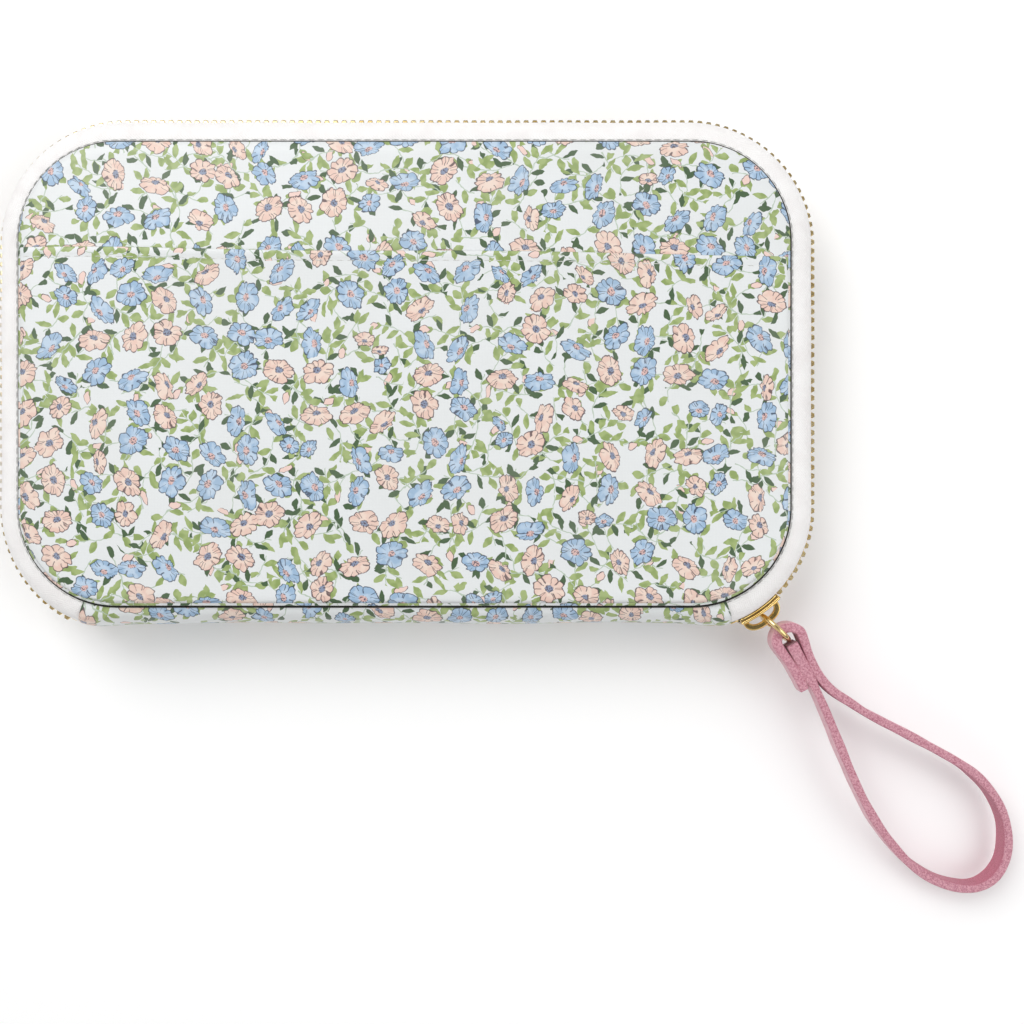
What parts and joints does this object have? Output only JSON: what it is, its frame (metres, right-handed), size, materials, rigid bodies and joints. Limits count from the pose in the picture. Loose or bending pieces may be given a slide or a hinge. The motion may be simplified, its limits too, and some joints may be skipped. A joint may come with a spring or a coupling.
{
  "type": "wristlet wallet",
  "caption": "Zip-around fabric wallet with two padded covers, outside slip pocket, card and coin pockets, metal slider, split ring and looped leather wrist strap.",
  "frame": {"origin": "middle of the back cover's outer face, which the wallet lies on", "axes": "+X along the length, +Y from the spine to the far edge, +Z out of the front cover"},
  "size_m": [0.3022, 0.2309, 0.0281],
  "materials": {
    "coated_canvas": "satin coated cotton with a small floral print",
    "stiffener_board": "matte non-woven board",
    "lining_cloth": "matte woven",
    "zip_tape": "matte twill",
    "gold_brass": "polished gold plate",
    "pink_leather": "smooth face, raw cut edge"
  },
  "bodies": {
    "back_cover": {"back_panel": "coated_canvas", "back_stiffener": "stiffener_board", "back_lining": "lining_cloth", "back_zip_tape": "zip_tape", "back_zip_teeth": "gold_brass", "zip_end_stop_right": "gold_brass", "zip_end_stop_left": "gold_brass", "spine_gusset": "coated_canvas", "spine_lining": "lining_cloth", "coin_pocket_panel": "lining_cloth", "coin_pocket_facing": "lining_cloth", "coin_zip_tape_lower": "zip_tape", "coin_zip_tape_upper": "zip_tape", "coin_zip_teeth_lower": "gold_brass", "coin_zip_teeth_upper": "gold_brass", "coin_zip_stop_left": "gold_brass", "coin_zip_stop_right": "gold_brass", "ticket_pocket": "lining_cloth"},
    "front_cover": {"front_panel": "coated_canvas", "front_pocket": "coated_canvas", "front_stiffener": "stiffener_board", "front_lining": "lining_cloth", "front_zip_tape": "zip_tape", "front_zip_teeth": "gold_brass", "note_pocket": "lining_cloth", "card_slot_left_1": "lining_cloth", "card_slot_left_2": "lining_cloth", "card_slot_left_3": "lining_cloth", "card_slot_left_4": "lining_cloth", "card_slot_right_1": "lining_cloth", "card_slot_right_2": "lining_cloth", "card_slot_right_3": "lining_cloth", "card_slot_right_4": "lining_cloth"},
    "slider": {"slider_body": "gold_brass", "slider_bail": "gold_brass"},
    "ring": {"jump_ring": "gold_brass"},
    "strap": {"wrist_strap": "pink_leather"},
    "coin_slider": {"coin_slider_body": "gold_brass", "coin_slider_bail": "gold_brass"},
    "coin_pull": {"coin_pull": "gold_brass"}
  },
  "joints": [
    {"name": "cover_open", "type": "hinge", "parent": "back_cover", "child": "front_cover", "pos_m": [0, -0.0759, 0.01405], "axis": [1, 0, 0], "range_deg": [0, 175], "deforming": ["spine_gusset", "spine_lining"]},
    {"name": "slider_travel", "type": "hinge", "parent": "back_cover", "child": "slider", "pos_m": [0.0826, -0.0384, 0.01405], "axis": [0, 0, 1], "range_deg": [0, 44]},
    {"name": "ring_swing", "type": "hinge", "parent": "slider", "child": "ring", "pos_m": [0.10664, -0.07235, 0.01405], "axis": [-0.8161, -0.5779, 0], "range_deg": [-20, 25]},
    {"name": "strap_swing", "type": "hinge", "parent": "ring", "child": "strap", "pos_m": [0.11306, -0.0777, 0.01405], "axis": [0, 0, 1], "range_deg": [-10, 60]},
    {"name": "coin_slider_travel", "type": "slide", "parent": "back_cover", "child": "coin_slider", "axis": [-1, 0, 0], "range_m": [0, 0.125]},
    {"name": "coin_pull_flip", "type": "hinge", "parent": "coin_slider", "child": "coin_pull", "pos_m": [0.063, 0.028, 0.0086], "axis": [0, 1, 0], "range_deg": [0, 170]}
  ]
}
